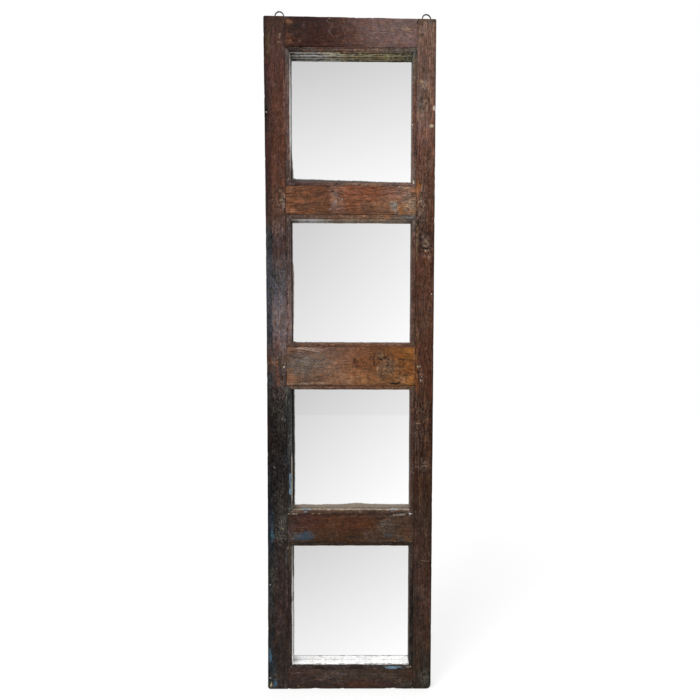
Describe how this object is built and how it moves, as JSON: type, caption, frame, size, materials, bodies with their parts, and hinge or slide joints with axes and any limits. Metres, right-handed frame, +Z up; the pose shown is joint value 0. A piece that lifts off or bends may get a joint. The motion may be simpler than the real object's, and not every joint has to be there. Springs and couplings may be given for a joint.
{
  "type": "panel wall mirror",
  "caption": "Tall narrow wall mirror in an old stile-and-rail door leaf: square mirror panes behind mitred mouldings, with screw eyes in the top ends to hang it by.",
  "frame": {"origin": "centre of the middle rail's back face, on the plane that lies against the wall", "axes": "+Z up along the panel's height, +Y back into the wall, +X to the right seen from the front; the mirrors face -Y"},
  "size_m": [0.45, 0.045, 1.8282],
  "materials": {
    "left_stile_wood": "old dark red-brown hardwood with blue-black paint left on it, dull",
    "right_stile_wood": "old warm brown hardwood, worn and dull",
    "top_rail_wood": "old red-brown hardwood, worn pale at the right",
    "upper_rail_wood": "old orange-brown hardwood, waxed",
    "middle_rail_wood": "old orange-brown hardwood, greyed at the left, waxed",
    "lower_rail_wood": "old dark brown hardwood with grey paint left on it, dull",
    "bottom_rail_wood": "old blackish brown hardwood, dull",
    "moulding_wood": "old painted hardwood, paint worn off its edges, dull",
    "mirror_silver": "plain silvered glass",
    "backing_board": "hardboard, matt",
    "bead_wood": "plain sawn softwood, stained, matt",
    "peg_wood": "end grain, dull",
    "eye_steel": "dark dulled wire"
  },
  "bodies": {
    "root": {"left_stile": "left_stile_wood", "right_stile": "right_stile_wood", "top_rail": "top_rail_wood", "upper_rail": "upper_rail_wood", "middle_rail": "middle_rail_wood", "lower_rail": "lower_rail_wood", "bottom_rail": "bottom_rail_wood", "moulding_1_left": "moulding_wood", "moulding_1_right": "moulding_wood", "moulding_1_top": "moulding_wood", "moulding_1_bottom": "moulding_wood", "moulding_2_left": "moulding_wood", "moulding_2_right": "moulding_wood", "moulding_2_top": "moulding_wood", "moulding_2_bottom": "moulding_wood", "moulding_3_left": "moulding_wood", "moulding_3_right": "moulding_wood", "moulding_3_top": "moulding_wood", "moulding_3_bottom": "moulding_wood", "moulding_4_left": "moulding_wood", "moulding_4_right": "moulding_wood", "moulding_4_top": "moulding_wood", "moulding_4_bottom": "moulding_wood", "mirror_1": "mirror_silver", "mirror_2": "mirror_silver", "mirror_3": "mirror_silver", "mirror_4": "mirror_silver", "backing_1": "backing_board", "backing_2": "backing_board", "backing_3": "backing_board", "backing_4": "backing_board", "bead_1_left": "bead_wood", "bead_1_right": "bead_wood", "bead_1_top": "bead_wood", "bead_1_bottom": "bead_wood", "bead_2_left": "bead_wood", "bead_2_right": "bead_wood", "bead_2_top": "bead_wood", "bead_2_bottom": "bead_wood", "bead_3_left": "bead_wood", "bead_3_right": "bead_wood", "bead_3_top": "bead_wood", "bead_3_bottom": "bead_wood", "bead_4_left": "bead_wood", "bead_4_right": "bead_wood", "bead_4_top": "bead_wood", "bead_4_bottom": "bead_wood", "peg_top_left": "peg_wood", "peg_top_right": "peg_wood", "peg_upper_left": "peg_wood", "peg_upper_right": "peg_wood", "peg_middle_left": "peg_wood", "peg_middle_right": "peg_wood", "peg_lower_left": "peg_wood", "peg_lower_right": "peg_wood", "peg_bottom_left": "peg_wood", "peg_bottom_right": "peg_wood", "screw_eye_left": "eye_steel", "screw_eye_right": "eye_steel"}
  },
  "joints": []
}
